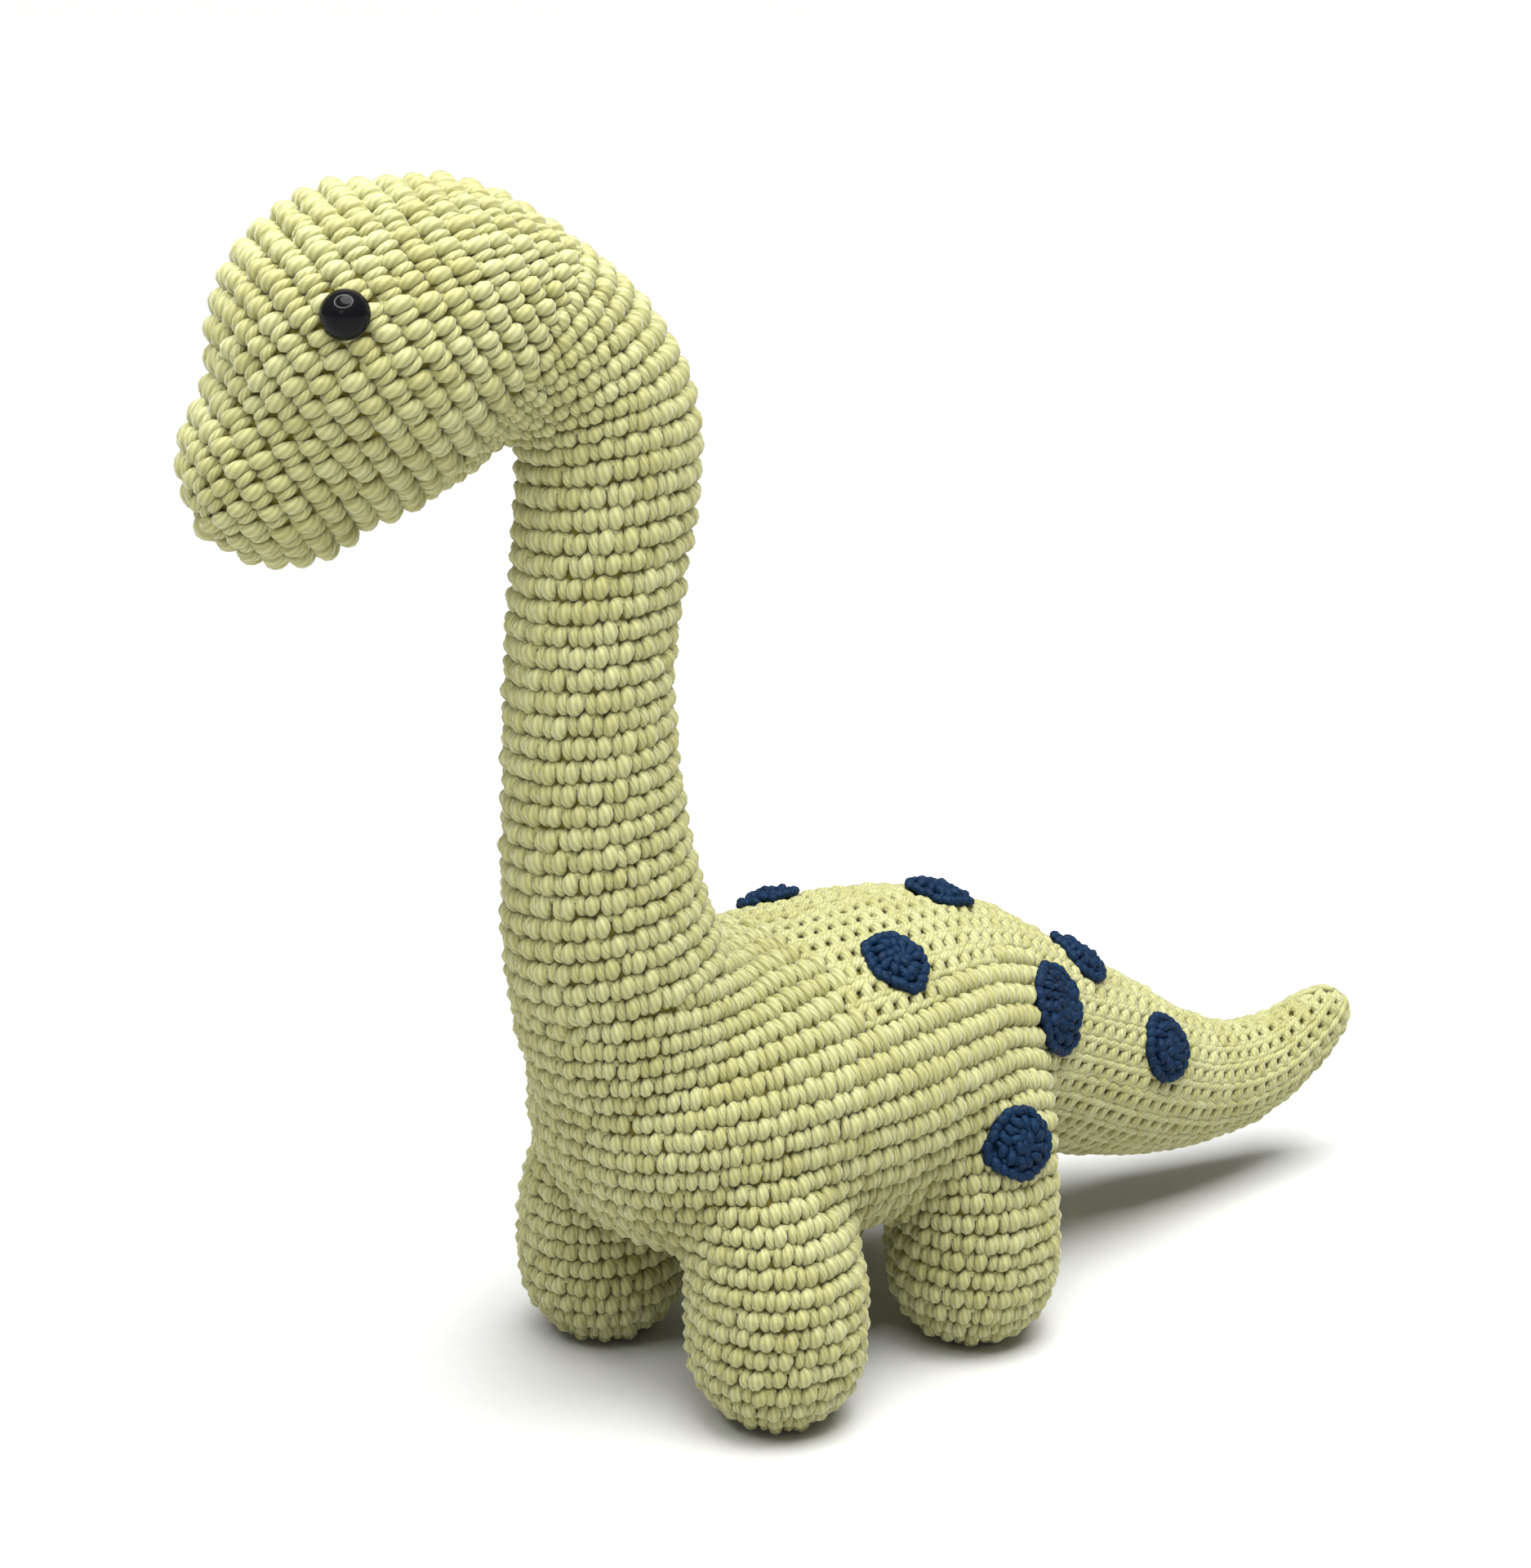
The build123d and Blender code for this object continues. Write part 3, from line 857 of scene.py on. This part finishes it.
def closed_part(surface, keep):
    """The marked triangles, with each open edge loop closed by a fan to its middle."""
    part, _ = surface.part(keep)
    triangles = part.triangles
    i, j = triangles.ravel(), np.roll(triangles, -1, axis=1).ravel()
    count = len(part.points)
    forward, backward = i * count + j, j * count + i
    open_edge = ~np.isin(forward, backward)
    onward = dict(zip(i[open_edge].tolist(), j[open_edge].tolist()))
    points, fans = [part.points], []
    while onward:
        start, nxt = onward.popitem()
        loop = [start, nxt]
        while loop[-1] in onward:
            loop.append(onward.pop(loop[-1]))
        centre = count + len(points) - 1
        points.append(part.points[loop].mean(axis=0)[None])
        fans += [(q, p, centre) for p, q in zip(loop[:-1], loop[1:])]
    triangles = np.concatenate([triangles, np.array(fans, int).reshape(-1, 3)])
    points = np.concatenate(points)
    loops = triangles.ravel()
    return Shape(points, loops, np.arange(0, len(loops), 3), points[loops][:, :2])


body = body_surface()
outside = Surface(body.points - YARN_DEPTH * body.normals, body.triangles)
middle = outside.points[outside.triangles].mean(axis=1)

# which rows each triangle belongs to
HEAD_FLOOR = 170           # the head lies above this height
in_head = (head_side(middle) > 0) & (middle[:, 2] > HEAD_FLOOR)
in_neck = ~in_head & (neck_floor(middle) > 0) & (middle[:, 1] < NECK_REAR)
in_trunk = ~in_head & ~in_neck

fields = {}
for name, keep, goal_of in (
    ("trunk", in_trunk, trunk_goal), ("neck", in_neck, neck_goal), ("head", in_head, head_goal),
):
    part, used = outside.part(keep)
    goal, pitch = goal_of(part.points, outside.normals[used])
    part.normals = outside.normals[used]
    field, slope = solve_rows(part, goal, pitch)
    fields[name] = (part, used, field, slope)

# the neck's rows carry on from the chest's, matched along the front
THROAT_Y = -40             # the front of the round where they meet lies ahead of this
trunk_used, trunk_field = fields["trunk"][1], fields["trunk"][2]
neck_used, neck_field = fields["neck"][1], fields["neck"][2]
shared, at_trunk, at_neck = np.intersect1d(trunk_used, neck_used, return_indices=True)
front = outside.points[shared][:, 1] < THROAT_Y
lift = np.mean(trunk_field[at_trunk][front] - neck_field[at_neck][front])


def trunk_width(points):
    """Narrower on the tail and along the upper back."""
    along = np.interp(points[:, 1], TAIL_WIDTH[:, 0], TAIL_WIDTH[:, 1])
    on_back = ramp(points[:, 2], 80, 90) * (1 - ramp(points[:, 1], 40, 60))
    return along - BACK_NARROWING * on_back


def plain_width(points):
    """The same width everywhere."""
    return np.full(len(points), STITCH_WIDTH)


rows = {}
for name, drift, widths in (
    ("trunk", 0.25, trunk_width), ("neck", 0.22, plain_width), ("head", 0.3, plain_width),
):
    part, used, field, slope = fields[name]
    if name == "neck":
        field = field + lift
    rows[name] = lay_rows(part, field, slope, drift, widths)


# ------------------------------------------------------------------ bodies and bends
class Bend:
    """Where cloth bends between two bodies: a point, a direction and a half length."""

    def __init__(self, near, far, point, direction, before, after):
        self.near, self.far = near, far
        self.point = np.array(point, float)
        self.direction = unit(direction)
        self.before, self.after = before, after

    def beyond(self, points):
        """Distance past the place where the bend starts."""
        return (points - self.point) @ self.direction + self.before

    def apply(self, piece):
        """Bakes the piece's placement into its mesh."""
        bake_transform(piece)


BENDS = {
    "neck_lower": Bend("trunk", "neck_lower", (0, -47, 102), (0, -0.2, 0.98), 12, 14),
    "neck_upper": Bend("neck_lower", "neck_upper", (0, -49.8, 160), (0, 0.05, 1), 12, 12),
    "head": Bend("neck_upper", "head", (0, -45, 194), (0, -0.42, 0.906), 10, 10),
    "tail_root": Bend("trunk", "tail_root", (4, 84, 42), (0.12, 0.9, -0.42), 7, 10),
    "tail_end": Bend("tail_root", "tail_end", (10.3, 128, 26.8), (0.17, 0.98, -0.05), 10, 10),
}
for name, (x, y) in LEGS.items():
    BENDS[name] = Bend("trunk", name, (x, y, LEG_BEND_Z), (0.33 * np.sign(x), 0, -0.94), 0, 24)


LEG_TOP = 60               # no leg's cloth reaches higher
LEG_REACH = 22             # or further from the leg's middle


def owner(points):
    """The body whose piece each point belongs to; the later zones win."""
    _, y, z = points.T
    ahead = y < NECK_REAR
    zones = [("tail_root", y > 60), ("tail_end", y > 100)]
    for leg, place in LEGS.items():
        close = np.linalg.norm(points[:, :2] - place, axis=1) < LEG_REACH
        zones.append((leg, close & (z < LEG_TOP)))
    zones += [("neck_lower", ahead & (z > 80)), ("neck_upper", ahead & (z > 130))]
    zones.append(("head", z > 165))
    names = np.full(len(points), "trunk", object)
    for name, zone in zones:
        names[zone & (BENDS[name].beyond(points) > 0)] = name
    return names


def settle(piece, name, nodes):
    """Attaches a piece to its body, or for a piece over a bend only bakes its placement, and hides
    the CAD parts it stands for.
    """
    if name in BENDS:
        BENDS[name].apply(piece)
    else:
        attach(piece, name)
    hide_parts(*nodes)


GAP_SINK = 0.5             # how far the extra stitches lie under the others
GAP_REACH = 0.72           # of a stitch's mean size: a bare place further off than this is a hole
GAP_HEIGHTS = (2.6, 4.2)   # least and most height of an extra stitch
BLOCK = 400                # stitches measured at a time


def fill_gaps(stitches, surface, slopes, reach):
    """Adds a stitch wherever the rows leave a hole wider than reach, the widest first."""
    middles = surface.points[surface.triangles].mean(axis=1)
    gap = np.full(len(middles), 1e9)
    sizes = np.sqrt(stitches.width * stitches.height)
    for start in range(0, len(sizes), BLOCK):
        block = stitches.place[start:start + BLOCK]
        size = sizes[start:start + BLOCK]
        apart = np.linalg.norm(middles[:, None] - block[None], axis=2) / size[None]
        gap = np.minimum(gap, apart.min(axis=1))
    place, normal, up, size = [], [], [], []
    while gap.max() > reach:
        k = int(np.argmax(gap))
        corners = surface.triangles[k]
        slope = slopes[corners].mean(axis=0)
        steep = np.linalg.norm(slope)
        height = float(np.clip(1 / max(steep, 1e-6), *GAP_HEIGHTS))
        facing = unit(surface.normals[corners].mean(axis=0))
        place.append(middles[k] - GAP_SINK * facing)
        normal.append(facing)
        up.append(slope / max(steep, 1e-6))
        size.append((min(STITCH_WIDTH, height * 1.1), height))
        apart = np.linalg.norm(middles - middles[k], axis=1) / math.sqrt(size[-1][0] * height)
        gap = np.minimum(gap, apart)
    size = np.array(size).reshape(-1, 2)
    extra = Stitches(np.array(place), np.array(normal), np.array(up), size[:, 0], size[:, 1])
    return Stitches.join([stitches, extra])


def ladder_share(stitches):
    """How much each stitch shows its ropes and post: the tail's do, and the upper back's."""
    tail = ramp(stitches.place[:, 1], 50, 60)
    back = ramp(stitches.normal[:, 2], 0.62, 0.8) * ramp(stitches.place[:, 1], -12, 0)
    return np.where(stitches.place[:, 2] > 30, np.maximum(tail, back), tail)


slopes = np.zeros_like(outside.points)
for part, used, field, slope in fields.values():
    slopes[used] = slope
every = fill_gaps(Stitches.join(list(rows.values())), outside, slopes, GAP_REACH)
stitch_owner = owner(every.place)
face_owner = owner(middle)
inside = Surface(body.points - UNDER_DEPTH * body.normals, body.triangles)
LADDER_START = (0.3, 0.7)  # the open stitches begin at a share drawn between these
MIDDLE_Y = 6               # the trunk's cloth is parted here, and down its middle
for name in ["trunk", *BENDS]:
    own = every.pick(stitch_owner == name)
    parts = [("", own)]
    if name == "trunk":
        left = own.place[:, 0] > 0
        rear = own.place[:, 1] > MIDDLE_Y
        parts = [
            ("_front_left", own.pick(left & ~rear)), ("_front_right", own.pick(~left & ~rear)),
            ("_rear_left", own.pick(left & rear)), ("_rear_right", own.pick(~left & rear)),
        ]
    elif name == "head":
        left = (own.place - NECK_TOP) @ HEAD_LEFT > 0
        parts = [("_left", own.pick(left)), ("_right", own.pick(~left))]
    for suffix, some in parts:
        open_work = ladder_share(some) > rng.uniform(*LADDER_START, len(some.width))
        plain, open_rows = some.pick(~open_work), some.pick(open_work)
        made = join_made([knit(SINGLE, plain), knit(LADDER, open_rows, 0.6)])
        piece = make_piece(f"{name}_cloth{suffix}", made, GREEN, made.shade)
        settle(piece, name, [f"{name}_skin"])
    # the closed surface behind the stitches, coloured with painted shade
    under = closed_part(inside, face_owner == name)
    piece = make_piece(f"{name}_padding", under, GREEN_BACK_PAINTED_SHADE)
    settle(piece, name, [f"{name}_stuffing"])

# ------------------------------------------------------------------ eyes and spots
eye_black = eye_material()
washer_white = washer_material()
for name, node in frame["nodes"].items():
    kind = None
    if name.startswith("eye_washer"):
        kind = washer_white
    elif name.startswith("eye_"):
        kind = eye_black
    if kind is not None:
        node.data.materials.clear()
        node.data.materials.append(kind)

SPOT_LIFT = 2.7            # how far the spots' yarn stands over the rows' surface
SPOT_ROUND = 2.6           # from round to round of a spot, about
SPOT_RIM = 0.8             # how far a spot's backing stays inside its radius
skin_tree = BVHTree.FromPolygons(outside.points.tolist(), outside.triangles.tolist())


def on_cloth(point):
    """Nearest place on the rows' surface and the way it faces there."""
    place, normal, index, _ = skin_tree.find_nearest(Vector(point))
    corners = outside.triangles[index]
    return np.array(place), unit(outside.normals[corners].mean(axis=0))


def spot_edge(waves, angle):
    """How far the uneven edge of a spot stands out at an angle, as a share of its radius."""
    return 1 + sum(size * math.cos((k + 2) * angle + turn) for k, (size, turn) in enumerate(waves))


def spot_rounds(centre, normal, radius, waves):
    """A lumpy disc worked in rounds: the stitches inside, and those along its edge."""
    side = across([0.0, 0.0, 1.0] if abs(normal[2]) < 0.9 else [0.0, 1.0, 0.0], normal)
    other = np.cross(normal, side)
    rounds = max(2, round(radius / SPOT_ROUND))
    pitch = radius / rounds
    place, facing, up, width, height = [], [], [], [], []
    for k in range(rounds):
        rim = k == rounds - 1
        count = 6 * (k + 1) + (3 if rim else 0)
        for i in range(count):
            angle = (i + 0.37 * k) / count * 2 * math.pi + rng.normal(0, 0.03)
            ray = math.cos(angle) * side + math.sin(angle) * other
            reach = (k + (0.65 if rim else 0.45)) * pitch * spot_edge(waves, angle)
            spot_place, spot_normal = on_cloth(centre + reach * ray)
            dome = 1 - 0.45 * (reach / radius) ** 2
            lean = rng.normal(1.5, 0.08) if rim else rng.normal(0.7, 0.35)
            place.append(spot_place + (SPOT_LIFT * dome + rng.normal(0, 0.15)) * spot_normal)
            facing.append(spot_normal)
            up.append(math.cos(lean) * ray + math.sin(lean) * np.cross(spot_normal, ray))
            width.append(pitch * 1.3)
            height.append(2 * math.pi * reach / count * 1.25 if rim else pitch * 1.3)
    stitches = Stitches(*(np.array(a) for a in (place, facing, up, width, height)))
    on_rim = np.arange(len(place)) >= len(place) - count
    return stitches.pick(~on_rim), stitches.pick(on_rim)


def spot_backing(centre, normal, radius, waves):
    """The closed disc under a spot's stitches, thick in the middle and thin at the rim."""
    side = across([0.0, 0.0, 1.0] if abs(normal[2]) < 0.9 else [0.0, 1.0, 0.0], normal)
    other = np.cross(normal, side)
    spokes, rings = 28, 6
    layers = []
    for top in (True, False):
        for r in range(rings, 0, -1) if top else range(1, rings + 1):
            share = r / rings
            for s in range(spokes):
                angle = s / spokes * 2 * math.pi
                ray = math.cos(angle) * side + math.sin(angle) * other
                place, facing = on_cloth(centre + share * radius * spot_edge(waves, angle) * ray)
                rise = 0.3 + (SPOT_LIFT - 0.3) * math.sqrt(max(0.0, 1 - share ** 2))
                layers.append(place + (rise if top else -0.5) * facing)
    points = layers[rings * spokes:] + layers[: rings * spokes]
    loops, starts = [], []
    for r in range(2 * rings - 1):
        for s in range(spokes):
            t = (s + 1) % spokes
            starts.append(len(loops))
            loops += [r * spokes + s, r * spokes + t, (r + 1) * spokes + t, (r + 1) * spokes + s]
    for row, order in ((0, range(spokes - 1, -1, -1)), (2 * rings - 1, range(spokes))):
        starts.append(len(loops))
        loops += [row * spokes + s for s in order]
    points = np.array(points)
    loops = np.array(loops)
    return Shape(points, loops, np.array(starts), points[loops][:, :2])


body_nodes = frame["record"]["behaviour"]["bodies"]
for name in [n for n in frame["nodes"] if n.startswith("spot_")]:
    points, _ = mesh_arrays(frame["nodes"][name].data)
    points = points / MM + MIDDLE
    centre, normal = on_cloth((points.min(axis=0) + points.max(axis=0)) / 2)
    flat = points - centre - dot(points - centre, normal)[:, None] * normal
    radius = np.percentile(np.linalg.norm(flat, axis=1), 90)
    waves = [(abs(rng.normal(0, 0.03)), rng.uniform(0, 2 * math.pi)) for _ in range(4)]
    inner, edge = spot_rounds(centre, normal, radius, waves)
    made = join_made([knit(SINGLE, inner), knit(EDGE, edge, 0.6)])
    body_name = next(b for b, nodes in body_nodes.items() if name in nodes)
    piece = make_piece(f"{name}_yarn", made, NAVY, made.shade)
    disc = spot_backing(centre, normal, radius - SPOT_RIM, waves)
    # the disc under a spot's stitches is coloured with painted shade
    backing = make_piece(f"{name}_backing", disc, NAVY_BACK_PAINTED_SHADE)
    for each in (piece, backing):
        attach(each, body_name)
        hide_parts(name)

# ------------------------------------------------------------------ floor
floor_mesh = bpy.data.meshes.new("floor")
half = 60.0                # metres, so that no edge of the floor comes into the picture
low = cad_box[0].z
corners = [(-half, -half, low), (half, -half, low), (half, half, low), (-half, half, low)]
floor_mesh.from_pydata(corners, [], [(0, 1, 2, 3)])
floor_mesh.materials.append(floor_material())
floor_object = bpy.data.objects.new("floor", floor_mesh)
bpy.context.scene.collection.objects.link(floor_object)
